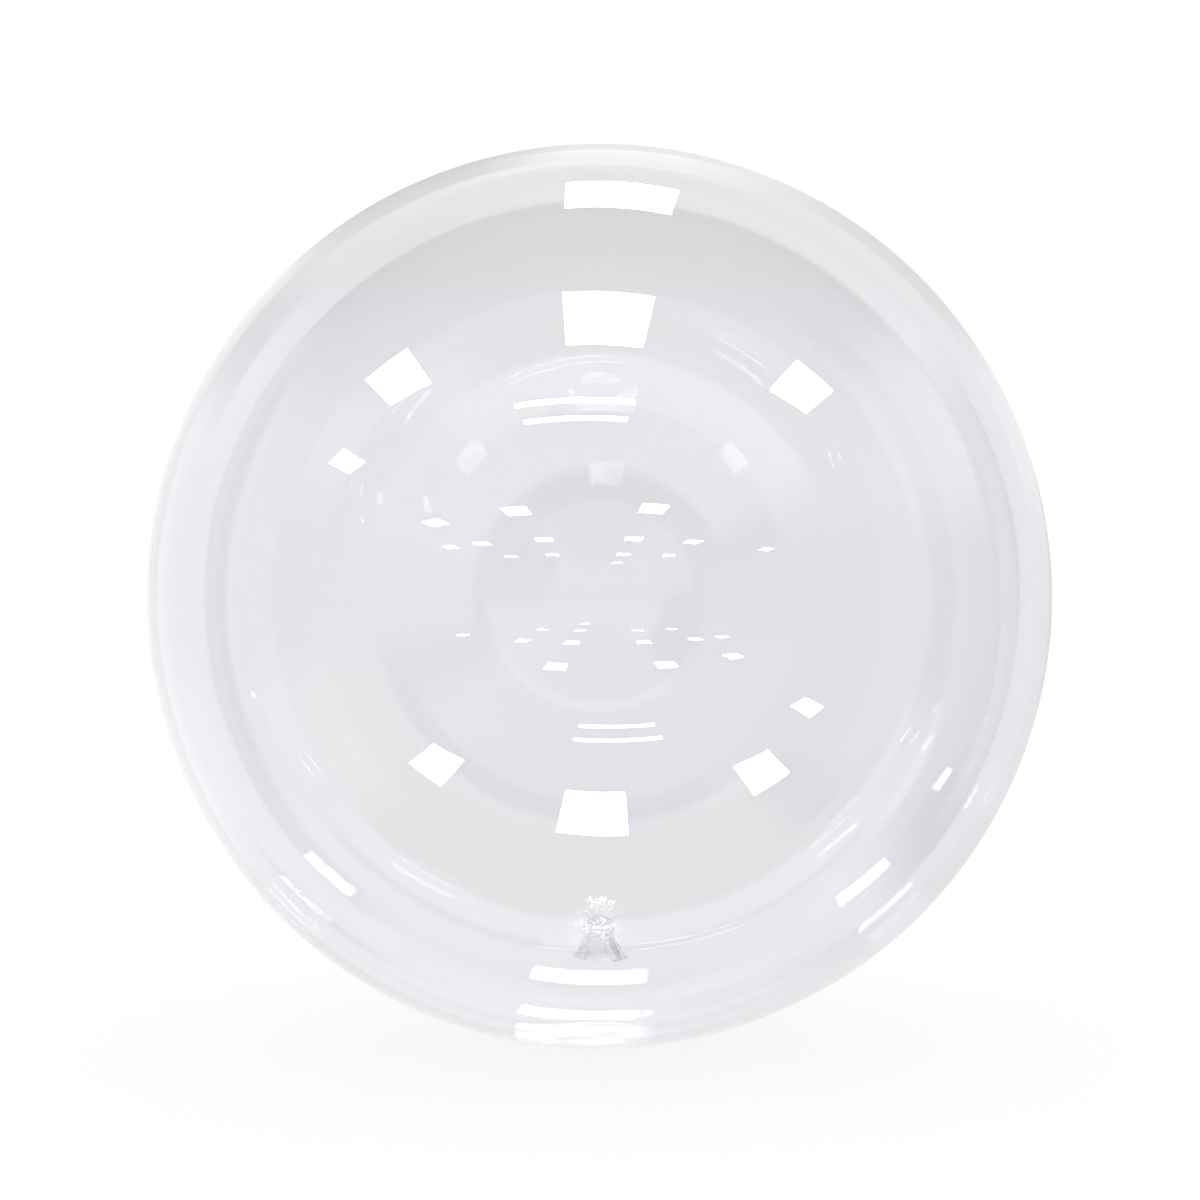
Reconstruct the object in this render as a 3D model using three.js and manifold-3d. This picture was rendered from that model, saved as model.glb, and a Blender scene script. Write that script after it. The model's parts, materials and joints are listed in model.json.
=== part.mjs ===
// Clear bubble balloon lying loose: a round blown film skin with its own knotted neck, in millimetres, +Z up.
// The origin is the middle of the small flat spot that the balloon lies on. +Y points away from the viewer.
// The skin is sealed and full of air, so it is one solid ball with the neck, knot and tail grown out of it.
import * as THREE from "three";
import { mergeVertices } from "three/addons/utils/BufferGeometryUtils.js";
import Module from "manifold-3d";

// Driving dimensions
const BALL_DIAMETER = 457.2; // an 18 inch bubble
const FLAT_SPOT_RADIUS = 28; // where the film flattens under the balloon
const NECK_SLANT_DEG = 52.5; // how far the neck points below level, at the back

// The neck, measured outwards along its own axis from the ball's surface
const SHOULDER_RADIUS = 30; // where the film starts to gather
const SHOULDER_REACH = 0.5; // share of that radius at which the curve leaves the ball's slope
const SHOULDER_RISE = 0.07; // share of it that the curve climbs by there
const NECK_RADIUS = 5.2;
const NECK_LENGTH = 7;
const KNOT_RADIUS = 8.6;
const KNOT_LENGTH = 11;
const KNOT_FULLNESS = 0.7; // under 1 is blunter than a sine curve
const TAIL_LENGTH = 20;
const TAIL_HALF_WIDTH = 14;
const TAIL_HALF_THICKNESS = 1.3;
const TAIL_FLARE = 0.8; // under 1 opens early
const PLEATS = 9;
const PLEAT_DEPTH = 0.16; // share of the radius, at the neck
const KNOT_PLEAT_SHARE = 0.2; // how much of that depth is left on the knot

// The turn of film that the tail passes through
const WRAP_RADIUS = 6.2;
const WRAP_THICKNESS = 3.3;
const WRAP_TILT_DEG = 24;
const WRAP_PLACE = 0.55; // share of the knot's length

// Fineness
const SECTORS = 64;
const BALL_RINGS = 34;
const SHOULDER_RINGS = 6;
const KNOT_RINGS = 6;
const TAIL_RINGS = 6;
const WRAP_SIDES = 10;
const WRAP_STEPS = 28;
const WELD_DISTANCE = 1e-3;

const ballRadius = BALL_DIAMETER / 2;
const neckSlant = THREE.MathUtils.degToRad(NECK_SLANT_DEG);
const centreHeight = Math.sqrt(ballRadius ** 2 - FLAT_SPOT_RADIUS ** 2);
const knotStart = ballRadius + NECK_LENGTH;
const tailStart = knotStart + KNOT_LENGTH;
const tailEnd = tailStart + TAIL_LENGTH;

const wasm = await Module();
wasm.setup();

function solidFrom(geometry) {
  const bare = geometry.clone();
  bare.deleteAttribute("normal");
  bare.deleteAttribute("uv");
  const merged = mergeVertices(bare, WELD_DISTANCE);
  return new wasm.Manifold(
    new wasm.Mesh({
      numProp: 3,
      vertProperties: merged.attributes.position.array,
      triVerts: new Uint32Array(merged.index.array),
    }),
  );
}

function geometryFrom(solid) {
  const mesh = solid.getMesh();
  return new THREE.BufferGeometry()
    .setAttribute("position", new THREE.BufferAttribute(mesh.vertProperties, 3))
    .setIndex(new THREE.BufferAttribute(mesh.triVerts, 1));
}

// How far the film is gathered at a place along the neck's axis: not at all on the ball, fully at the knot.
function gathering(along) {
  const shoulderStart = Math.sqrt(ballRadius ** 2 - SHOULDER_RADIUS ** 2);
  return THREE.MathUtils.smoothstep(along, shoulderStart, knotStart);
}

// How far the film swells out into the knot: none at the knot's two ends, all of it in the middle.
function knotSwell(along) {
  const share = THREE.MathUtils.clamp((along - knotStart) / KNOT_LENGTH, 0, 1);
  return Math.sin(Math.PI * share) ** KNOT_FULLNESS;
}

// How far the tail has spread at a place along the neck's axis.
function spread(along) {
  return THREE.MathUtils.clamp((along - tailStart) / TAIL_LENGTH, 0, 1) ** TAIL_FLARE;
}

// The outline of half the balloon, as (distance from the neck's axis, place along it), far pole first.
function outline() {
  const points = [new THREE.Vector2(0, -ballRadius)];
  const shoulderAngle = Math.PI - Math.asin(SHOULDER_RADIUS / ballRadius);
  for (let ring = 1; ring <= BALL_RINGS; ring++) {
    const angle = (shoulderAngle * ring) / BALL_RINGS;
    points.push(new THREE.Vector2(ballRadius * Math.sin(angle), -ballRadius * Math.cos(angle)));
  }
  // The shoulder curves from the ball's own slope into the neck's.
  const shoulderFoot = points.at(-1);
  const shoulder = new THREE.CubicBezierCurve(
    shoulderFoot,
    new THREE.Vector2(SHOULDER_RADIUS * SHOULDER_REACH, shoulderFoot.y + SHOULDER_RADIUS * SHOULDER_RISE),
    new THREE.Vector2(NECK_RADIUS, ballRadius),
    new THREE.Vector2(NECK_RADIUS, knotStart),
  );
  points.push(...shoulder.getPoints(SHOULDER_RINGS).slice(1));
  for (let ring = 1; ring <= KNOT_RINGS; ring++) {
    const along = knotStart + (KNOT_LENGTH * ring) / KNOT_RINGS;
    const radius = THREE.MathUtils.lerp(NECK_RADIUS, KNOT_RADIUS, knotSwell(along));
    points.push(new THREE.Vector2(radius, along));
  }
  for (let ring = 1; ring <= TAIL_RINGS; ring++) {
    const along = tailStart + (TAIL_LENGTH * ring) / TAIL_RINGS;
    const radius = THREE.MathUtils.lerp(NECK_RADIUS, TAIL_HALF_WIDTH, spread(along));
    points.push(new THREE.Vector2(radius, along));
  }
  points.push(new THREE.Vector2(0, tailEnd));
  return points;
}

// The turned outline, with pleats round the neck, faint ones on the knot, and the tail pressed flat.
function skinGeometry() {
  const geometry = new THREE.LatheGeometry(outline(), SECTORS);
  const place = geometry.attributes.position;
  for (let i = 0; i < place.count; i++) {
    const [x, along, z] = [place.getX(i), place.getY(i), place.getZ(i)];
    const turn = Math.atan2(z, x);
    const stillPleated = THREE.MathUtils.lerp(1, KNOT_PLEAT_SHARE, knotSwell(along));
    const pleat = 1 + PLEAT_DEPTH * gathering(along) * stillPleated * Math.cos(PLEATS * turn);
    const flatness = THREE.MathUtils.lerp(1, TAIL_HALF_THICKNESS / TAIL_HALF_WIDTH, spread(along));
    place.setXYZ(i, x * pleat, along, z * pleat * flatness);
  }
  return geometry;
}

// The wrap is a fat ring round the knot, tilted as the last turn of an overhand knot is.
function wrapGeometry() {
  const geometry = new THREE.TorusGeometry(WRAP_RADIUS, WRAP_THICKNESS, WRAP_SIDES, WRAP_STEPS);
  geometry.rotateX(Math.PI / 2 - THREE.MathUtils.degToRad(WRAP_TILT_DEG));
  geometry.translate(0, knotStart + KNOT_LENGTH * WRAP_PLACE, 0);
  return geometry;
}

// Everything below the flat spot's level is taken off.
function floorGeometry() {
  const side = BALL_DIAMETER;
  const geometry = new THREE.BoxGeometry(side, side, side);
  geometry.translate(0, 0, -centreHeight - side / 2);
  return geometry;
}

function balloonSkin() {
  const slanted = new THREE.Matrix4().makeRotationX(-neckSlant);
  const skin = solidFrom(skinGeometry().applyMatrix4(slanted));
  const wrap = solidFrom(wrapGeometry().applyMatrix4(slanted));
  const floor = solidFrom(floorGeometry());
  const clearFilm = new THREE.MeshStandardMaterial({
    color: 0xe9e8f2,
    roughness: 0.03,
    metalness: 0,
    transparent: true,
    opacity: 0.3,
  });
  const mesh = new THREE.Mesh(geometryFrom(skin.add(wrap).subtract(floor)), clearFilm);
  mesh.name = "balloon_skin";
  mesh.position.z = centreHeight;
  return mesh;
}

const balloon = new THREE.Group();
balloon.add(balloonSkin());

export default balloon;
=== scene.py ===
"""Clear bubble balloon: one blown film skin with its knotted neck and short flared tail, lying loose."""
import json
import math
import typing

import bmesh
import bpy
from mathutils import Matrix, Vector


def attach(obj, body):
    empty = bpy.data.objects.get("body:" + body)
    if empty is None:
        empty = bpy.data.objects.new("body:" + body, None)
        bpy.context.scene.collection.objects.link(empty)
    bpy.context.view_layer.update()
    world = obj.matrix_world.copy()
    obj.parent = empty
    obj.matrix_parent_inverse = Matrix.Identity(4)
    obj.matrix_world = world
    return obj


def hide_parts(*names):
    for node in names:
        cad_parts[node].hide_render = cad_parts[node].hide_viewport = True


bl_info = {
    "name": "Clear Bubble Balloon",
    "version": (1, 0, 0),
    "blender": (4, 5, 0),
    "location": "3D View > Sidebar > Balloon",
    "description": "Builds a clear film balloon with a knotted neck, and a plain studio round it",
    "category": "Add Mesh",
}

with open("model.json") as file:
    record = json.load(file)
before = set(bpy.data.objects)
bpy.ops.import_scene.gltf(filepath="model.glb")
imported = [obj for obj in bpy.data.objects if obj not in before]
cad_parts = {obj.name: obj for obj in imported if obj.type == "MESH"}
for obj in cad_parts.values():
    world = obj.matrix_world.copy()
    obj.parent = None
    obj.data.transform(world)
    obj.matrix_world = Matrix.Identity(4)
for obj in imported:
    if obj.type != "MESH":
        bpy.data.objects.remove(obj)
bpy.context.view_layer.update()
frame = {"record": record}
mounts = {mount["name"]: mount for mount in frame["record"]["mounts"]}
neck_axis = Vector(mounts["neck_tie"]["axis"])


# Sizes and finishes that a user would change


class BalloonSizes(bpy.types.PropertyGroup):
    """The sizes of the blown film, its neck, knot and tail"""

    ball_diameter: bpy.props.FloatProperty(
        name="Ball Diameter",
        description="The blown ball from side to side",
        default=0.4572,
        min=0.1,
        unit="LENGTH",
    )
    flat_spot_radius: bpy.props.FloatProperty(
        name="Flat Spot Radius",
        description="Where the film flattens against what the balloon lies on",
        default=0.028,
        min=0.0,
        unit="LENGTH",
    )
    flat_spot_softness: bpy.props.FloatProperty(
        name="Flat Spot Softness",
        description="The height over which the ball rounds off into its flat spot",
        default=0.0008,
        min=0.0001,
        unit="LENGTH",
    )
    film_thickness: bpy.props.FloatProperty(
        name="Film Thickness",
        description="The wall of the ball, the neck and the tail",
        default=0.0003,
        min=0.0001,
        unit="LENGTH",
    )
    neck_slant: bpy.props.FloatProperty(
        name="Neck Slant",
        description="How far the neck points below level",
        default=math.asin(-neck_axis.z),
        subtype="ANGLE",
    )
    shoulder_radius: bpy.props.FloatProperty(
        name="Shoulder Radius",
        description="Where the film leaves the ball's curve and starts to gather",
        default=0.030,
        unit="LENGTH",
    )
    neck_radius: bpy.props.FloatProperty(
        name="Neck Radius",
        description="The gathered neck between the ball and the knot",
        default=0.0052,
        unit="LENGTH",
    )
    neck_length: bpy.props.FloatProperty(
        name="Neck Length",
        description="From the ball's surface to the knot",
        default=0.007,
        unit="LENGTH",
    )
    knot_radius: bpy.props.FloatProperty(
        name="Knot Radius",
        description="The thickest place of the film bunched up in the knot",
        default=0.0086,
        unit="LENGTH",
    )
    knot_length: bpy.props.FloatProperty(
        name="Knot Length",
        description="The knot from the neck to the tail",
        default=0.011,
        unit="LENGTH",
    )
    wrap_radius: bpy.props.FloatProperty(
        name="Wrap Radius",
        description="The middle line of the turn of film round the knot",
        default=0.0062,
        unit="LENGTH",
    )
    wrap_thickness: bpy.props.FloatProperty(
        name="Wrap Thickness",
        description="Half the width of that turn of film",
        default=0.0033,
        unit="LENGTH",
    )
    wrap_tilt: bpy.props.FloatProperty(
        name="Wrap Tilt",
        description="How far that turn slants across the knot",
        default=math.radians(24),
        subtype="ANGLE",
    )
    tail_length: bpy.props.FloatProperty(
        name="Tail Length",
        description="From the knot to the trimmed end",
        default=0.020,
        unit="LENGTH",
    )
    tail_half_width: bpy.props.FloatProperty(
        name="Tail Half Width",
        description="Half the width of the trimmed end",
        default=0.014,
        unit="LENGTH",
    )
    tail_half_thickness: bpy.props.FloatProperty(
        name="Tail Half Thickness",
        description="Half the depth of the pressed tail at its trimmed end",
        default=0.0013,
        unit="LENGTH",
    )
    pleats: bpy.props.IntProperty(
        name="Pleats",
        description="The folds that the film falls into at the neck",
        default=9,
        min=0,
    )
    puckers: bpy.props.IntProperty(
        name="Puckers",
        description="The fine creases that run out from the neck over the ball",
        default=31,
        min=0,
    )
    pucker_height: bpy.props.FloatProperty(
        name="Pucker Height",
        description="The height of those creases beside the neck",
        default=0.00012,
        unit="LENGTH",
    )
    ripple_height: bpy.props.FloatProperty(
        name="Ripple Height",
        description="The height of the faint slack ripples at the ball's two sides",
        default=0.00025,
        unit="LENGTH",
    )


class FilmFinish(bpy.types.PropertyGroup):
    """The finish of the clear film"""

    # Painted shade: both tints are darker than the clear film's own colour, standing in for a dimmer surround
    # seen through the ball
    tint_and_shade: bpy.props.FloatVectorProperty(
        name="Tint",
        description="The colour that light keeps in passing one wall of film",
        default=(0.905, 0.900, 0.927),
        min=0.0,
        max=1.0,
        subtype="COLOR",
    )
    thicker_tint_and_shade: bpy.props.FloatVectorProperty(
        name="Thicker Tint",
        description="The same where the film is a little thicker",
        default=(0.895, 0.889, 0.918),
        min=0.0,
        max=1.0,
        subtype="COLOR",
    )
    refraction: bpy.props.FloatProperty(
        name="Refraction",
        description="The film's index of refraction",
        default=1.5,
        min=1.0,
    )


class BalloonStudio(bpy.types.PropertyGroup):
    """The plain studio: a pale floor, a white surround, and lamps that the film's gloss shows"""

    backdrop_light: bpy.props.FloatProperty(
        name="Backdrop Light",
        description="The brightness of the white surround",
        default=1.02,
    )
    floor_paleness: bpy.props.FloatProperty(
        name="Floor Paleness",
        description="The share of light that the floor gives back",
        default=0.8,
        min=0.1,
        max=1.0,
        subtype="FACTOR",
    )
    floor_shade: bpy.props.FloatProperty(
        name="Floor Shade",
        description="How much of the balloon's shade the floor shows",
        default=0.14,
        min=0.0,
        max=1.0,
        subtype="FACTOR",
    )
    lamp_side: bpy.props.FloatProperty(
        name="Lamp Side",
        description="The side of each square lamp",
        default=0.6,
        unit="LENGTH",
    )
    lamp_height: bpy.props.FloatProperty(
        name="Lamp Height",
        description="The height of the lamps over the floor",
        default=2.17,
        unit="LENGTH",
    )
    lamp_brightness: bpy.props.FloatProperty(
        name="Lamp Brightness",
        description="The brightness of a lamp's face, with the white surround at about 1",
        default=26.0,
    )
    lamp_colour: bpy.props.FloatVectorProperty(
        name="Lamp Colour",
        description="The lamps' cool white",
        default=(0.86, 1.0, 1.02),
        min=0.0,
        soft_max=1.1,
        subtype="COLOR",
    )


GROUPS = {
    "balloon_sizes": BalloonSizes,
    "balloon_finish": FilmFinish,
    "balloon_studio": BalloonStudio,
}

# Fineness of the film's mesh
SECTORS = 256
BALL_RINGS = 132
SHOULDER_RINGS = 12
KNOT_RINGS = 24
TAIL_RINGS = 14
MOUTH_RINGS = 10

# The shoulder's curve and the tail's mouth
SHOULDER_REACH = 0.5  # share of the shoulder's radius at which the curve leaves the ball's slope
SHOULDER_RISE = 0.07  # share of it that the curve climbs by there
MOUTH_DEPTH = 0.92  # share of the tail's length that is open


# Rules written as arithmetic on sockets


class Field:
    """A number that varies over a surface or a direction, as the output of a node in a tree"""

    def __init__(self, tree, socket):
        self.tree = tree
        self.socket = socket

    def math(self, operation, *others, clamp=False):
        node = self.tree.nodes.new("ShaderNodeMath")
        node.operation = operation
        node.use_clamp = clamp
        for place, value in enumerate((self, *others)):
            plug(self.tree, node.inputs[place], value)
        return Field(self.tree, node.outputs[0])

    def __add__(self, other):
        return self.math("ADD", other)

    def __sub__(self, other):
        return self.math("SUBTRACT", other)

    def __rsub__(self, other):
        return self.math("MULTIPLY", -1.0).math("ADD", other)

    def __mul__(self, other):
        return self.math("MULTIPLY", other)

    def __truediv__(self, other):
        return self.math("DIVIDE", other)

    def __pow__(self, other):
        return self.math("POWER", other)

    def larger(self, other):
        return self.math("MAXIMUM", other)

    def smaller(self, other):
        return self.math("MINIMUM", other)

    def root(self):
        return self.math("SQRT")

    def sine(self):
        return self.math("SINE")

    def cosine(self):
        return self.math("COSINE")

    def clamped(self):
        return self.math("ADD", 0.0, clamp=True)

    def rise(self, start, end):
        """A smooth step from 0 at start to 1 at end"""
        node = self.tree.nodes.new("ShaderNodeMapRange")
        node.interpolation_type = "SMOOTHSTEP"
        for name, value in (("Value", self), ("From Min", start), ("From Max", end)):
            plug(self.tree, node.inputs[name], value)
        return Field(self.tree, node.outputs["Result"])


def plug(tree, socket, value):
    """Gives an input socket a number, or links it to a field or a socket."""
    if isinstance(value, Field):
        value = value.socket
    if isinstance(value, bpy.types.NodeSocket):
        tree.links.new(value, socket)
    else:
        socket.default_value = value


def blend(low, high, share):
    """Low where share is 0, high where it is 1."""
    return share * (high - low) + low


def add_node(tree, kind, inputs=None, **settings):
    """A node with its settings made, and its inputs set or linked by name or number."""
    node = tree.nodes.new(kind)
    for name, value in settings.items():
        setattr(node, name, value)
    for name, value in (inputs or {}).items():
        plug(tree, node.inputs[name], value)
    return node


def split(tree, vector):
    """The three parts of a vector socket, as fields."""
    parts = add_node(tree, "ShaderNodeSeparateXYZ", {0: vector})
    return [Field(tree, output) for output in parts.outputs]


def join(tree, *parts):
    """A vector socket made of three parts."""
    return add_node(tree, "ShaderNodeCombineXYZ", dict(enumerate(parts))).outputs[0]


# The film's outline


def ball_radius(sizes):
    return sizes.ball_diameter / 2


def centre_height(sizes):
    return math.sqrt(ball_radius(sizes) ** 2 - sizes.flat_spot_radius**2)


def knot_start(sizes):
    return ball_radius(sizes) + sizes.neck_length


def tail_start(sizes):
    return knot_start(sizes) + sizes.knot_length


def shoulder_curve(share, foot, sizes, depth):
    """A place on the curve from the ball's slope into the neck's: (distance from the axis, along it)."""
    radius = sizes.shoulder_radius
    corners = [
        foot,
        (radius * SHOULDER_REACH, foot[1] + radius * SHOULDER_RISE),
        (sizes.neck_radius - depth, ball_radius(sizes)),
        (sizes.neck_radius - depth, knot_start(sizes)),
    ]
    weights = [math.comb(3, k) * share**k * (1 - share) ** (3 - k) for k in range(4)]
    return tuple(sum(w * corner[k] for w, corner in zip(weights, corners)) for k in range(2))


def ball_and_shoulder(sizes, depth):
    """The ball from its far pole to the knot, at a depth in the film: (from the axis, along it, depth)."""
    radius = ball_radius(sizes) - depth
    last_angle = math.pi - math.asin(sizes.shoulder_radius / ball_radius(sizes))
    points = []
    for ring in range(BALL_RINGS + 1):
        angle = last_angle * ring / BALL_RINGS
        points.append((radius * math.sin(angle), -radius * math.cos(angle), depth))
    foot = points[-1][:2]
    for ring in range(1, SHOULDER_RINGS + 1):
        points.append((*shoulder_curve(ring / SHOULDER_RINGS, foot, sizes, depth), depth))
    return points


def knot_and_tail(sizes):
    """The knot, the tail and the inside of its mouth. The tree gives them their swell and spread."""
    radius = sizes.neck_radius
    wall = sizes.film_thickness
    points = []
    for ring in range(1, KNOT_RINGS + 1):
        points.append((radius, knot_start(sizes) + sizes.knot_length * ring / KNOT_RINGS, 0.0))
    for ring in range(1, TAIL_RINGS + 1):
        points.append((radius, tail_start(sizes) + sizes.tail_length * ring / TAIL_RINGS, 0.0))
    for ring in range(MOUTH_RINGS + 1):
        share = 1 - MOUTH_DEPTH * ring / MOUTH_RINGS
        points.append((radius - wall, tail_start(sizes) + sizes.tail_length * share, wall))
    return points


def turned_mesh(name, outlines):
    """Turns outlines about the Y axis into closed surfaces, with the depth in the film kept on each point.
    An outline starts on the axis, and is closed by a point on the axis at its end."""
    mesh = bpy.data.meshes.new(name)
    build = bmesh.new()
    depth_layer = build.verts.layers.float.new("film_depth")
    turns = [2 * math.pi * sector / SECTORS for sector in range(SECTORS)]

    def corner(distance, along, depth, turn=0.0):
        vertex = build.verts.new((distance * math.cos(turn), along, distance * math.sin(turn)))
        vertex[depth_layer] = depth
        return vertex

    for outline, inward in outlines:
        rings = [[corner(*point, turn) for turn in turns] for point in outline[1:]]
        first = corner(0.0, *outline[0][1:])
        last = corner(0.0, *outline[-1][1:])
        strips = []
        for sector in range(SECTORS):
            after = (sector + 1) % SECTORS
            strips.append((first, rings[0][sector], rings[0][after]))
            strips.append((rings[-1][after], rings[-1][sector], last))
            for near, far in zip(rings, rings[1:]):
                strips.append((near[after], near[sector], far[sector], far[after]))
        for strip in strips:
            build.faces.new(tuple(reversed(strip)) if inward else strip)
    build.to_mesh(mesh)
    build.free()
    return mesh


# The gathered film


def group_inputs(tree, wanted):
    """Makes a tree's named number inputs, and gives them back as fields."""
    for name in wanted:
        tree.interface.new_socket(name, in_out="INPUT", socket_type="NodeSocketFloat")
    entry = tree.nodes.new("NodeGroupInput")
    return {name: Field(tree, entry.outputs[name]) for name in wanted}, entry


WORKED_OUT_SIZES = {"Ball Radius": ball_radius, "Centre Height": centre_height, "Knot Start": knot_start}

PLAIN_SIZES = (
    "flat_spot_softness",
    "neck_slant",
    "shoulder_radius",
    "neck_radius",
    "knot_radius",
    "knot_length",
    "wrap_radius",
    "wrap_thickness",
    "wrap_tilt",
    "tail_length",
    "tail_half_width",
    "tail_half_thickness",
    "pleats",
    "puckers",
    "pucker_height",
    "ripple_height",
)


def film_inputs(sizes):
    """The sizes that the film's tree takes, under the names of its inputs."""
    worked_out = {name: work_out(sizes) for name, work_out in WORKED_OUT_SIZES.items()}
    plain = {name.replace("_", " ").title(): float(getattr(sizes, name)) for name in PLAIN_SIZES}
    return {**worked_out, **plain}


# Knot and tail
KNOT_FULLNESS = 0.7  # under 1 is blunter than a sine curve
TAIL_FLARE = 0.8  # under 1 opens early
RUFFLE_HEIGHT = 0.0013  # metres
RUFFLE_PACE = 430.0  # radians of the wave for each metre across
RUFFLE_START = 0.6  # radians
TRIM_WAVE_HEIGHT = 0.0007  # metres
TRIM_WAVE_PACE = 260.0  # radians of the wave for each metre across
TRIM_WAVE_START = 1.1  # radians

# Broad pleats, with finer ones between that drift round as they run
PLEAT_DEPTH = 0.16  # share of the neck's radius
KNOT_PLEAT_SHARE = 0.2  # how much of that depth is left on the knot
FINE_PLEATS_FOR_EACH = 2.0  # broad pleat
FINE_PLEATS_MORE = 5.0  # on top of those
FINE_PLEAT_SHARE = 0.22  # of a broad pleat's depth
FINE_PLEAT_DRIFT = 420.0  # radians of the wave for each metre along

# The turn of film round the knot
WRAP_PLACE = 0.55  # share of the knot's length
WRAP_CREASES = 3.0
WRAP_CREASE_SHARE = 0.05  # of the height that the turn stands out by
WRAP_CREASE_DRIFT = 2300.0  # radians of the wave for each metre along
THINNEST_WRAP = 0.00001  # metres, and none at all where it would be thinner

# Puckers beside the neck, in two rows that don't keep step
PUCKER_START = (0.9, 2.2)  # in neck radii, from none to full
PUCKER_REACH = 1.5  # in shoulder radii
SECOND_ROW_COUNT = 0.61  # share of the first row's count
SECOND_ROW_HEIGHT = 0.6  # share of the first row's height
SECOND_ROW_START = 1.9  # radians
HIGH_PLACES = 4.0  # round the neck
HIGH_PLACES_START = 0.7  # radians
UNEVENNESS = 0.35  # share of a pucker's height, up or down

# Slack ripples, drawn out upwards
RIPPLE_SCALE = 46.0  # for each metre
RIPPLE_PACE = (1.0, 0.8, 0.22)  # shares of that scale along X, Y and Z
RIPPLE_SIDE = (0.62, 0.86)  # from none to full, as shares of the ball's radius from the middle
RIPPLE_BAND = (0.14, 0.34)  # from full to none, as shares of it above and below the middle


def pleating(size, turn, along, gathered, swell):
    """How far the pleats move the film out, as a share of its distance from the neck's axis."""
    pleat_depth = gathered * blend(1.0, KNOT_PLEAT_SHARE, swell) * PLEAT_DEPTH
    fine_count = size["Pleats"] * FINE_PLEATS_FOR_EACH + FINE_PLEATS_MORE
    fine = (turn * fine_count + along * FINE_PLEAT_DRIFT).cosine() * FINE_PLEAT_SHARE
    broad = (turn * size["Pleats"]).cosine()
    return (broad + fine) * pleat_depth


def wrap_distance(size, turn, along, distance):
    """How far from the neck's axis the slanting turn of film round the knot reaches, and 0 clear of it."""
    middle = size["Knot Start"] + size["Knot Length"] * WRAP_PLACE
    tilt = size["Wrap Tilt"]
    thickness = size["Wrap Thickness"]
    off_ridge = (along - middle - distance * turn.sine() * tilt.math("TANGENT")) * tilt.cosine()
    crease = (turn * WRAP_CREASES + along * WRAP_CREASE_DRIFT).cosine() * WRAP_CREASE_SHARE + 1.0
    bulge = (thickness * thickness - off_ridge * off_ridge).larger(0.0).root() * crease
    on_ridge = bulge.math("GREATER_THAN", THINNEST_WRAP)
    return (size["Wrap Radius"] + bulge) * on_ridge


def puckering(size, turn, along, turned_distance):
    """How far the puckers that fan out from the neck lift the film, along the neck's axis."""
    neck = size["Neck Radius"]
    near_neck = 1.0 - turned_distance.rise(neck, size["Shoulder Radius"] * PUCKER_REACH)
    past_neck = turned_distance.rise(neck * PUCKER_START[0], neck * PUCKER_START[1])
    on_neck_side = along.math("GREATER_THAN", 0.0)
    uneven = (turn * HIGH_PLACES + HIGH_PLACES_START).sine() * UNEVENNESS + (1.0 - UNEVENNESS)
    second_count = (size["Puckers"] * SECOND_ROW_COUNT).math("ROUND")
    second_row = (turn * second_count + SECOND_ROW_START).cosine() * SECOND_ROW_HEIGHT
    wave = (turn * size["Puckers"]).cosine() + second_row
    return wave * uneven * near_neck * near_neck * past_neck * on_neck_side * size["Pucker Height"]


def rippling(tree, size, x, y, z):
    """How far the ripples at the ball's two sides move the film out, as a share of the ball's radius."""
    ball = size["Ball Radius"]
    place = join(tree, *(part * pace for part, pace in zip((x, y, z), RIPPLE_PACE)))
    noise_inputs = {"Vector": place, "Scale": RIPPLE_SCALE, "Detail": 0.0}
    noise = Field(tree, add_node(tree, "ShaderNodeTexNoise", noise_inputs).outputs["Fac"])
    at_side = (x.math("ABSOLUTE") / ball).rise(*RIPPLE_SIDE)
    at_mid_height = 1.0 - ((z - size["Centre Height"]).math("ABSOLUTE") / ball).rise(*RIPPLE_BAND)
    return (noise - 0.5) * 2.0 * at_side * at_mid_height * size["Ripple Height"] / ball


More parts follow.
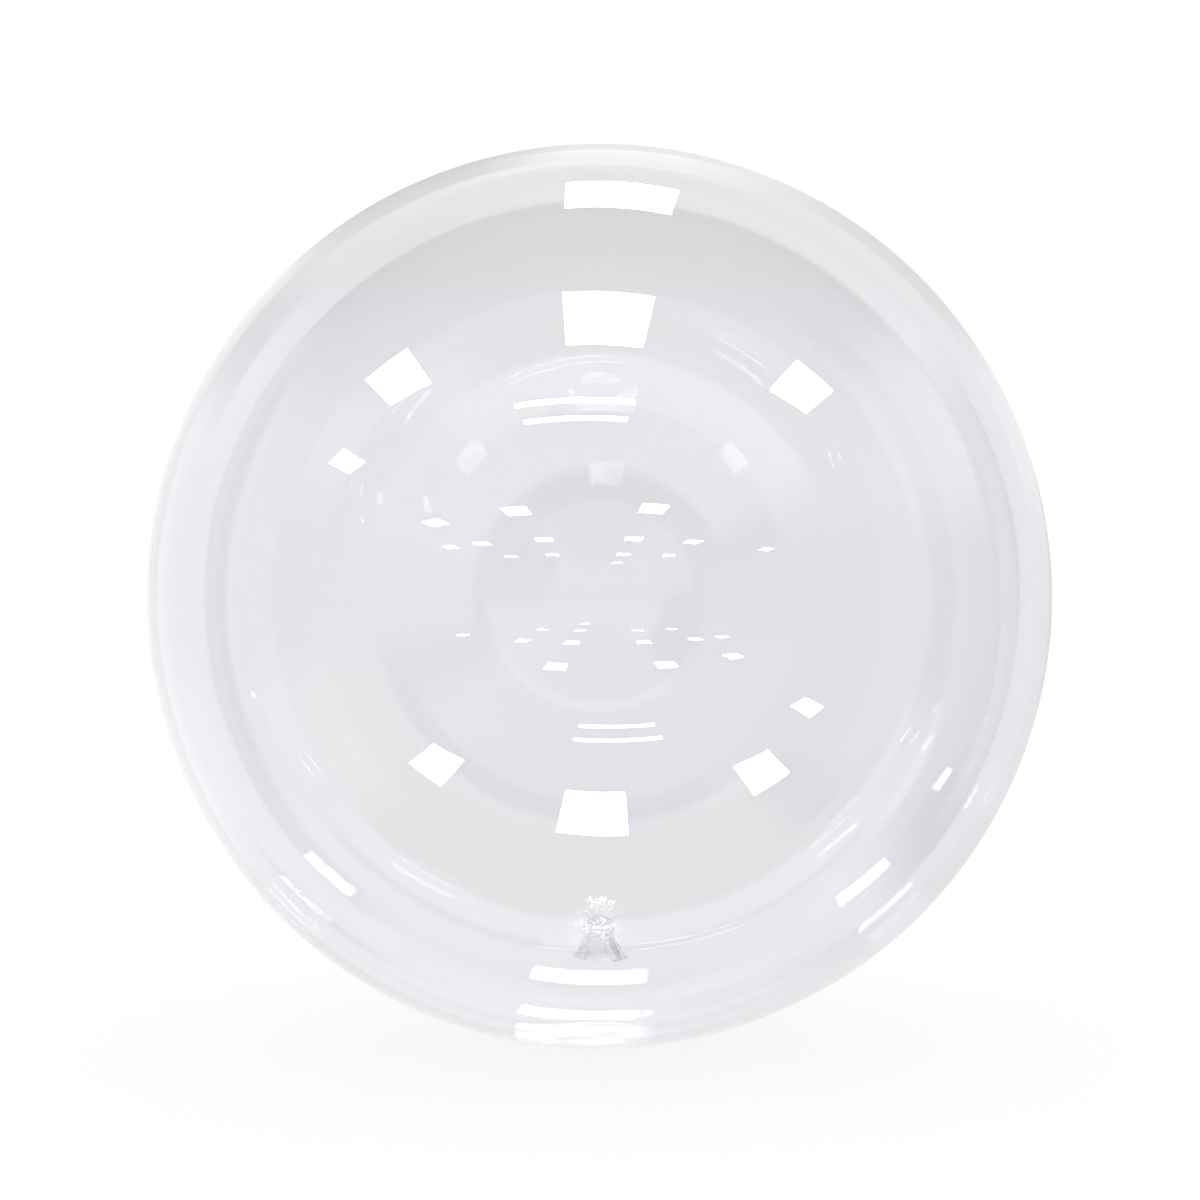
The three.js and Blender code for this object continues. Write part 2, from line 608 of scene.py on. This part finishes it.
def gathered_film_tree(number_inputs):
    """The rule that gathers a turned film into its neck, knot and tail, and lays it down on its flat spot."""
    tree = bpy.data.node_groups.new("gathered film", "GeometryNodeTree")
    tree.is_modifier = True
    tree.interface.new_socket("Geometry", in_out="INPUT", socket_type="NodeSocketGeometry")
    tree.interface.new_socket("Film", in_out="INPUT", socket_type="NodeSocketMaterial")
    tree.interface.new_socket("Geometry", in_out="OUTPUT", socket_type="NodeSocketGeometry")
    size, entry = group_inputs(tree, number_inputs)

    x, along, z = split(tree, tree.nodes.new("GeometryNodeInputPosition").outputs[0])
    kept_depth = add_node(tree, "GeometryNodeInputNamedAttribute", {"Name": "film_depth"}, data_type="FLOAT")
    depth = Field(tree, kept_depth.outputs["Attribute"])
    turn = z.math("ARCTAN2", x)
    turned_distance = (x * x + z * z).root()

    # Shares along the neck: how far gathered, how far into the knot and how far down the tail
    ball = size["Ball Radius"]
    shoulder = size["Shoulder Radius"]
    shoulder_start = (ball * ball - shoulder * shoulder).root()
    gathered = along.rise(shoulder_start, size["Knot Start"])
    knot_share = ((along - size["Knot Start"]) / size["Knot Length"]).clamped()
    swell = (knot_share * math.pi).sine().larger(0.0) ** KNOT_FULLNESS
    tail_start_along = size["Knot Start"] + size["Knot Length"]
    tail_share = ((along - tail_start_along) / size["Tail Length"]).clamped() ** TAIL_FLARE

    # The neck swells into the knot and spreads into the tail
    neck = size["Neck Radius"]
    distance = turned_distance + depth
    distance = distance + (size["Knot Radius"] - neck) * swell + (size["Tail Half Width"] - neck) * tail_share
    distance = distance * (pleating(size, turn, along, gathered, swell) + 1.0)
    distance = distance.larger(wrap_distance(size, turn, along, distance))

    # The tail is pressed flat and ruffled across
    flatness = blend(1.0, size["Tail Half Thickness"] / size["Tail Half Width"], tail_share)
    new_x = turn.cosine() * (distance - depth)
    new_z = turn.sine() * (distance * flatness - depth)
    ruffled = tail_share * tail_share
    new_z = new_z + ruffled * (new_x * RUFFLE_PACE + RUFFLE_START).sine() * RUFFLE_HEIGHT
    trim_wave = ruffled * (new_x * TRIM_WAVE_PACE + TRIM_WAVE_START).cosine() * TRIM_WAVE_HEIGHT
    new_along = along + trim_wave + puckering(size, turn, along, turned_distance)

    # The slant of the neck, and the height of the ball's middle
    slant = size["Neck Slant"]
    lying_y = new_along * slant.cosine() + new_z * slant.sine()
    lying_z = new_z * slant.cosine() - new_along * slant.sine() + size["Centre Height"]
    outward = rippling(tree, size, new_x, lying_y, lying_z) + 1.0
    rippled_z = (lying_z - size["Centre Height"]) * outward + size["Centre Height"]

    # The floor presses the flat spot
    over = rippled_z - depth
    soft = size["Flat Spot Softness"]
    pressed_z = (over + (over * over + soft * soft).root()) * 0.5 + depth

    finished = join(tree, new_x * outward, lying_y * outward, pressed_z)
    moves = {"Geometry": entry.outputs["Geometry"], "Position": finished}
    placed = add_node(tree, "GeometryNodeSetPosition", moves)
    smooth = add_node(tree, "GeometryNodeSetShadeSmooth", {"Geometry": placed.outputs[0]})
    real = add_node(tree, "GeometryNodeRealizeInstances", {"Geometry": smooth.outputs[0]})
    dressing = {"Geometry": real.outputs[0], "Material": entry.outputs["Film"]}
    dressed = add_node(tree, "GeometryNodeSetMaterial", dressing)
    add_node(tree, "NodeGroupOutput", {"Geometry": dressed.outputs[0]})
    return tree


def grow(mesh, tree, inputs, name):
    """Runs a tree on a mesh with these inputs, and keeps the result as an object with a plain mesh."""
    seed = bpy.data.objects.new(name + "_seed", mesh)
    bpy.context.collection.objects.link(seed)
    modifier = seed.modifiers.new("rule", "NODES")
    modifier.node_group = tree
    for item in tree.interface.items_tree:
        if item.item_type == "SOCKET" and item.in_out == "INPUT" and item.name in inputs:
            modifier[item.identifier] = inputs[item.name]
    evaluated = seed.evaluated_get(bpy.context.evaluated_depsgraph_get())
    grown = bpy.data.meshes.new_from_object(evaluated)
    seed.modifiers.remove(modifier)
    bpy.data.objects.remove(seed)
    piece = bpy.data.objects.new(name, grown)
    bpy.context.collection.objects.link(piece)
    return piece


# Materials

# Broad soft bands of thicker film
BAND_SCALE = 5.0  # for each metre
BAND_EDGES = (0.4, 0.7)  # of the noise, from none to full


def film_bands_group():
    """Where the blown film is a little thicker: broad soft bands over the ball."""
    group = bpy.data.node_groups.new("film bands", "ShaderNodeTree")
    group.interface.new_socket("Vector", in_out="INPUT", socket_type="NodeSocketVector")
    group.interface.new_socket("Thicker", in_out="OUTPUT", socket_type="NodeSocketFloat")
    entry = group.nodes.new("NodeGroupInput")
    noise_inputs = {"Vector": entry.outputs["Vector"], "Scale": BAND_SCALE, "Detail": 1.0}
    noise = Field(group, add_node(group, "ShaderNodeTexNoise", noise_inputs).outputs["Fac"])
    add_node(group, "NodeGroupOutput", {"Thicker": noise.rise(*BAND_EDGES)})
    return group


def clear_film(finish):
    """Clear blown film: see-through and glossy, with a faint tint that deepens where the film is thicker. The
    tint is partly the film's own faint colour and partly painted shade: it is darker than clear film,
    standing in for a dimmer surround seen through the ball.
    """
    material = bpy.data.materials.new("clear_film")
    material.use_nodes = True
    tree = material.node_tree
    shader = tree.nodes["Principled BSDF"]
    shader.inputs["Metallic"].default_value = 0.0
    shader.inputs["Roughness"].default_value = 0.0
    shader.inputs["Transmission Weight"].default_value = 1.0
    shader.inputs["IOR"].default_value = finish.refraction
    coordinates = tree.nodes.new("ShaderNodeTexCoord")
    bands = tree.nodes.new("ShaderNodeGroup")
    bands.node_tree = film_bands_group()
    tree.links.new(coordinates.outputs["Object"], bands.inputs["Vector"])
    mix = add_node(tree, "ShaderNodeMix", {"Factor": bands.outputs["Thicker"]}, data_type="RGBA")
    thin, thick = (socket for socket in mix.inputs if socket.type == "RGBA")
    # The two tints carry painted shade on what is seen through the film, as well as the film's own faint
    # colour
    thin.default_value = (*finish.tint_and_shade, 1.0)
    thick.default_value = (*finish.thicker_tint_and_shade, 1.0)
    mixed = next(socket for socket in mix.outputs if socket.type == "RGBA")
    tree.links.new(mixed, shader.inputs["Base Color"])
    return material


def has_bounced(tree, kind, times):
    """1 for light that has bounced at least so many times in a way, such as Glossy, and 0 for the rest."""
    path = tree.nodes.new("ShaderNodeLightPath")
    return Field(tree, path.outputs[kind + " Depth"]).math("GREATER_THAN", times - 0.5)


def pale_floor(studio):
    """The pale floor, lit evenly apart from a faint shade under the balloon. The film mirrors only the
    surround and the lamps, so the floor is clear to what it mirrors."""
    material = bpy.data.materials.new("pale_floor")
    material.use_nodes = True
    tree = material.node_tree
    shader = tree.nodes["Principled BSDF"]
    shader.inputs["Base Color"].default_value = (*[studio.floor_paleness] * 3, 1.0)
    shader.inputs["Roughness"].default_value = 1.0
    shader.inputs["Specular IOR Level"].default_value = 0.0
    glow = add_node(tree, "ShaderNodeEmission", {"Strength": studio.backdrop_light})
    evenness = 1.0 - studio.floor_shade
    lit = add_node(tree, "ShaderNodeMixShader", {0: evenness, 1: shader.outputs[0], 2: glow.outputs[0]})
    clear = tree.nodes.new("ShaderNodeBsdfTransparent")
    mirrored = has_bounced(tree, "Glossy", 1)
    mixed = add_node(tree, "ShaderNodeMixShader", {0: mirrored, 1: lit.outputs[0], 2: clear.outputs[0]})
    tree.links.new(mixed.outputs[0], tree.nodes["Material Output"].inputs["Surface"])
    material.cycles.emission_sampling = "NONE"
    return material


def lamp_face(studio, name, hidden_from_far_wall=False):
    """The even bright face of a lamp, which doesn't light the floor. The film's far wall can be kept from
    mirroring it too."""
    material = bpy.data.materials.new(name)
    material.use_nodes = True
    tree = material.node_tree
    tree.nodes.remove(tree.nodes["Principled BSDF"])
    glow = add_node(tree, "ShaderNodeEmission", {"Color": (*studio.lamp_colour, 1.0)})
    strength = (1.0 - has_bounced(tree, "Diffuse", 1)) * studio.lamp_brightness
    if hidden_from_far_wall:
        through_near_wall = has_bounced(tree, "Transmission", 3)
        mirrored_once = 1.0 - has_bounced(tree, "Glossy", 2)
        strength = strength * (1.0 - through_near_wall * mirrored_once)
    plug(tree, glow.inputs["Strength"], strength)
    tree.links.new(glow.outputs[0], tree.nodes["Material Output"].inputs["Surface"])
    material.cycles.emission_sampling = "NONE"
    return material


# The studio


class SoftArea(typing.NamedTuple):
    """An area of soft light or shade round the balloon, placed by angles in degrees. Bearing 0 is to the
    viewer's right and 90 is up. Start and end are measured from straight behind the balloon."""

    bearing: float
    half_span: float
    start: float
    end: float
    brightness: float
    blue: float = 1.0


# What the film mirrors, with the brightness of the white surround at about 1
REST_BRIGHTNESS = 0.35
LOW_FRONT_BRIGHTNESS = 0.95
LOW_FRONT_START = 153  # degrees
LOW_FRONT_HEIGHT = (0.03, -0.05)  # from none to full, as the rise of a direction
BEARING_SOFTNESS = 9  # degrees
EDGE_SOFTNESS = 1.5  # degrees
ALL_ROUND = 200  # a half span that leaves no bearing out
RADIAN = math.degrees(1)  # in degrees
LEAST_DIVISOR = 0.0001  # keeps straight behind and straight in front from dividing by 0

# Painted one over another, in this order
SOFT_AREAS = {
    "left side": SoftArea(180, 60, 40, 150, 0.91),
    "dark low front": SoftArea(265, 70, 124, 152, 0.21),
    "under the front": SoftArea(255, 62, 95, 124, 0.97, blue=0.72),
    "overhead front": SoftArea(98, 70, 120, 149, 1.15),
    "dark high front": SoftArea(90, 36, 151, 172, 0.0),
    "dark overhead": SoftArea(88, 51, 67, 109, 0.08),
    "dark right side": SoftArea(345, 32, 58, 165, 0.17),
    "right high": SoftArea(27, 13, 67, 96, 0.78),
    "under": SoftArea(262, 56, 50, 100, 1.04),
    "under right": SoftArea(326, 14, 80, 95, 0.85),
    "under bright": SoftArea(270, 48, 86, 95, 1.70),
    "left bright": SoftArea(178, 30, 77, 94, 1.22),
    "left ring": SoftArea(188, 46, 67, 76, 0.68),
    "backdrop left": SoftArea(185, 57, 44, 67, 1.15),
    "backdrop": SoftArea(0, ALL_ROUND, -20, 53, 0.93),
    "backdrop below": SoftArea(255, 44, 34, 50, 1.06),
    "near below": SoftArea(268, 28, 46, 68, 1.22),
    "backdrop left edge": SoftArea(174, 42, 34, 54, 1.19),
    "backdrop left rim": SoftArea(176, 44, 12, 34, 1.03),
    "backdrop right": SoftArea(2, 38, 53, 63, 0.42),
    "backdrop right edge": SoftArea(355, 44, -20, 53, 0.82),
    "backdrop top": SoftArea(86, 54, 52, 66, 0.90),
    "backdrop top middle": SoftArea(90, 16, 14, 45, 1.15),
    "top edge": SoftArea(84, 40, -20, 28, 0.90),
    "top edge left": SoftArea(114, 14, 12, 40, 0.67),
    "top edge far left": SoftArea(140, 12, 34, 54, 0.82),
    "top edge right": SoftArea(48, 14, -20, 37, 0.76),
    "right edge high": SoftArea(21, 11, -20, 40, 0.94),
    "top left shade": SoftArea(118, 10, 57, 66, 0.76),
}

# The white surround greys a little towards the top of what the film lets through
TOP_HEIGHT = (0.10, 0.15)  # from none to full, as the rise of a direction
TOP_SHARE = 0.94
TOP_BLUE = 0.955


def inside_area(area, away, x, z, cross):
    """1 inside a soft area, 0 outside it, and a smooth step between. A direction comes as its angle away
    from straight behind, its parts across and up, and the length of those two together."""
    inside = away.rise(area.end + EDGE_SOFTNESS, area.end - EDGE_SOFTNESS)
    if area.start > 0:
        inside = inside * away.rise(area.start - EDGE_SOFTNESS, area.start + EDGE_SOFTNESS)
    if area.half_span < ALL_ROUND:
        angle = math.radians(area.bearing)
        lean = (x * math.cos(angle) + z * math.sin(angle)) / cross
        off = lean.smaller(1.0).larger(-1.0).math("ARCCOSINE") * RADIAN
        inside = inside * off.rise(area.half_span + BEARING_SOFTNESS, area.half_span - BEARING_SOFTNESS)
    return inside


def surround(studio):
    """White straight on, and soft areas of light and shade in what the film mirrors."""
    world = bpy.data.worlds.new("white_surround")
    world.use_nodes = True
    tree = world.node_tree
    x, y, z = split(tree, tree.nodes.new("ShaderNodeTexCoord").outputs["Generated"])
    cross = (x * x + z * z).root().larger(LEAST_DIVISOR)
    away = y.math("ARCCOSINE") * RADIAN

    # What the film mirrors
    in_front = away.rise(LOW_FRONT_START - EDGE_SOFTNESS, LOW_FRONT_START + EDGE_SOFTNESS)
    mirrored = blend(REST_BRIGHTNESS, LOW_FRONT_BRIGHTNESS, z.rise(*LOW_FRONT_HEIGHT) * in_front)
    mirrored_blue = 1.0
    for area in SOFT_AREAS.values():
        inside = inside_area(area, away, x, z, cross)
        mirrored = blend(mirrored, area.brightness, inside)
        if area.blue < 1.0:
            mirrored_blue = blend(mirrored_blue, area.blue, inside)

    # What is seen directly or through the film, and what lights the floor
    top = z.rise(*TOP_HEIGHT) * has_bounced(tree, "Transmission", 1)
    seen = blend(1.0, TOP_SHARE, top) * studio.backdrop_light
    seen_blue = blend(1.0, TOP_BLUE, top)
    floor_light = studio.backdrop_light / studio.floor_paleness
    is_mirrored = has_bounced(tree, "Glossy", 1)
    is_floor_light = has_bounced(tree, "Diffuse", 1)
    strength = blend(blend(seen, mirrored, is_mirrored), floor_light, is_floor_light)
    blue = blend(blend(seen_blue, mirrored_blue, is_mirrored), 1.0, is_floor_light)

    background = tree.nodes["Background"]
    plug(tree, background.inputs["Strength"], strength)
    colour = add_node(tree, "ShaderNodeCombineColor", {"Red": 1.0, "Green": 1.0, "Blue": blue})
    tree.links.new(colour.outputs[0], background.inputs["Color"])
    world.cycles.sampling_method = "NONE"
    bpy.context.scene.world = world


# The lamps nearest the balloon, as places over the floor in metres
NEAR_LAMPS = (
    (0.052, -0.855),
    (-1.816, -0.823),
    (1.909, -0.937),
    (-3.670, -1.438),
)
LAMP_TURN = math.radians(-2.05)  # round the upright axis

# The rows of lamps behind the camera, as places along and places across, in metres
FAR_LAMP_ROWS = {
    -5.2: (-4.35, -1.90, 1.20),
    -8.2: (-5.90, -4.35, -1.90, 1.15, 3.35, 6.90),
    -11.3: (-4.30, -2.20, 1.10, 3.30),
    -14.2: (1.0,),
}

# The lamp behind the balloon, in metres
BACK_LAMP = (0.105, 0.780)
BACK_LAMP_SIDE = 0.54


class Tube(typing.NamedTuple):
    """A tube lamp over the camera: the middle of it and its length, in metres"""

    middle: tuple
    length: float


TUBES = (Tube((-0.145, -1.140, 1.330), 0.69), Tube((-0.140, -1.220, 1.240), 0.60))
TUBE_WIDTH = 0.045  # metres

# The four corners of a lamp, as shares of its width and depth from the middle
LAMP_CORNERS = ((-0.5, -0.5), (-0.5, 0.5), (0.5, 0.5), (0.5, -0.5))


def add_lamps(name, places, material):
    """Flat bright faces that only the film's gloss shows. A place is a middle, a width and a depth."""
    across = Vector((math.cos(LAMP_TURN), math.sin(LAMP_TURN), 0.0))
    along = Vector((-math.sin(LAMP_TURN), math.cos(LAMP_TURN), 0.0))
    corners = []
    for middle, width, depth in places:
        for side, end in LAMP_CORNERS:
            corners.append(Vector(middle) + across * width * side + along * depth * end)
    mesh = bpy.data.meshes.new(name)
    mesh.from_pydata(corners, [], [range(4 * face, 4 * face + 4) for face in range(len(places))])
    mesh.materials.append(material)
    lamps = bpy.data.objects.new(name, mesh)
    lamps.visible_camera = False
    lamps.visible_diffuse = False
    lamps.visible_shadow = False
    bpy.context.collection.objects.link(lamps)


def add_all_lamps(studio):
    """The square lamps near and far, the two tubes and the back lamp."""
    ground_places = list(NEAR_LAMPS)
    for row, columns in FAR_LAMP_ROWS.items():
        ground_places += [(column, row) for column in columns]
    side = studio.lamp_side
    places = [((x, y, studio.lamp_height), side, side) for x, y in ground_places]
    places += [(tube.middle, tube.length, TUBE_WIDTH) for tube in TUBES]
    add_lamps("lamps", places, lamp_face(studio, "lamp_face"))
    back = ((*BACK_LAMP, studio.lamp_height), BACK_LAMP_SIDE, BACK_LAMP_SIDE)
    add_lamps("back_lamp", [back], lamp_face(studio, "back_lamp_face", hidden_from_far_wall=True))


FLOOR_REACH = 400.0  # metres each way, as far as the eye can tell


def add_floor(studio):
    """The floor that the balloon lies on."""
    corners = [(x * FLOOR_REACH, y * FLOOR_REACH, 0.0) for x, y in ((-1, -1), (1, -1), (1, 1), (-1, 1))]
    mesh = bpy.data.meshes.new("floor")
    mesh.from_pydata(corners, [], [(0, 1, 2, 3)])
    mesh.materials.append(pale_floor(studio))
    floor = bpy.data.objects.new("floor", mesh)
    bpy.context.collection.objects.link(floor)


# The camera's place and its framing of the ball
CAMERA_DISTANCE_IN_RADII = 5.406
PICTURE_SIDE = 1200  # pixels
FOCAL_LENGTH = 2404.5  # pixels
BALL_MIDDLE_IN_PICTURE = (599.5, 596.3)  # pixels
SENSOR_WIDTH = 36.0  # millimetres
VIEW_REACH = 2000.0  # metres, past the floor's corners


def add_camera(sizes):
    """The camera, level with the middle of the ball."""
    data = bpy.data.cameras.new("camera")
    data.sensor_width = SENSOR_WIDTH
    data.lens = FOCAL_LENGTH / PICTURE_SIDE * SENSOR_WIDTH
    data.shift_x = 0.5 - BALL_MIDDLE_IN_PICTURE[0] / PICTURE_SIDE
    data.shift_y = BALL_MIDDLE_IN_PICTURE[1] / PICTURE_SIDE - 0.5
    data.clip_end = VIEW_REACH
    camera = bpy.data.objects.new("camera", data)
    camera.location = (0.0, -CAMERA_DISTANCE_IN_RADII * ball_radius(sizes), centre_height(sizes))
    camera.rotation_euler = (math.pi / 2, 0.0, 0.0)
    bpy.context.collection.objects.link(camera)
    bpy.context.scene.camera = camera


# How often light may pass through or be mirrored by the film
PASSES = 24
MIRRORINGS = 16


def set_light_paths():
    """Clear film needs many bounces and no clamping, and its pale tones need plain colours."""
    scene = bpy.context.scene
    scene.cycles.max_bounces = PASSES
    scene.cycles.transmission_bounces = PASSES
    scene.cycles.glossy_bounces = MIRRORINGS
    scene.cycles.sample_clamp_indirect = 0.0
    scene.view_settings.view_transform = "Standard"


# The operators


class BALLOON_OT_stage(bpy.types.Operator):
    """Sets up the pale floor, the white surround, the lamps and the camera"""

    bl_idname = "balloon.stage"
    bl_label = "Studio and Camera"

    def execute(self, context):
        scene = context.scene
        add_floor(scene.balloon_studio)
        surround(scene.balloon_studio)
        add_all_lamps(scene.balloon_studio)
        add_camera(scene.balloon_sizes)
        set_light_paths()
        return {"FINISHED"}


class BALLOON_OT_film(bpy.types.Operator):
    """Blows the clear film, and gathers it into its neck, knot and tail"""

    bl_idname = "balloon.film"
    bl_label = "Balloon Film"

    def execute(self, context):
        sizes = context.scene.balloon_sizes
        wall = sizes.film_thickness
        outside = ball_and_shoulder(sizes, 0.0) + knot_and_tail(sizes)
        inside = ball_and_shoulder(sizes, wall)
        seed = turned_mesh("balloon_film", [(outside, False), (inside, True)])
        inputs = film_inputs(sizes)
        tree = gathered_film_tree(inputs)
        inputs["Film"] = clear_film(context.scene.balloon_finish)
        piece = grow(seed, tree, inputs, "balloon_film")
        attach(piece, "root")
        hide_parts("balloon_skin")
        return {"FINISHED"}


class BALLOON_PT_panel(bpy.types.Panel):
    """The balloon's sizes and finish, and what builds it"""

    bl_idname = "BALLOON_PT_panel"
    bl_label = "Balloon"
    bl_space_type = "VIEW_3D"
    bl_region_type = "UI"
    bl_category = "Balloon"

    def draw(self, context):
        for operator in OPERATORS:
            self.layout.operator(operator.bl_idname)
        for group_name, group in GROUPS.items():
            box = self.layout.box()
            for prop in group.__annotations__:
                box.prop(getattr(context.scene, group_name), prop)


OPERATORS = (BALLOON_OT_stage, BALLOON_OT_film)
CLASSES = (*GROUPS.values(), *OPERATORS, BALLOON_PT_panel)


def register():
    for each in CLASSES:
        bpy.utils.register_class(each)
    for name, group in GROUPS.items():
        setattr(bpy.types.Scene, name, bpy.props.PointerProperty(type=group))


def unregister():
    for name in GROUPS:
        delattr(bpy.types.Scene, name)
    for each in reversed(CLASSES):
        bpy.utils.unregister_class(each)


def main():
    register()
    bpy.ops.balloon.stage()
    bpy.ops.balloon.film()


if __name__ == "__main__":
    main()
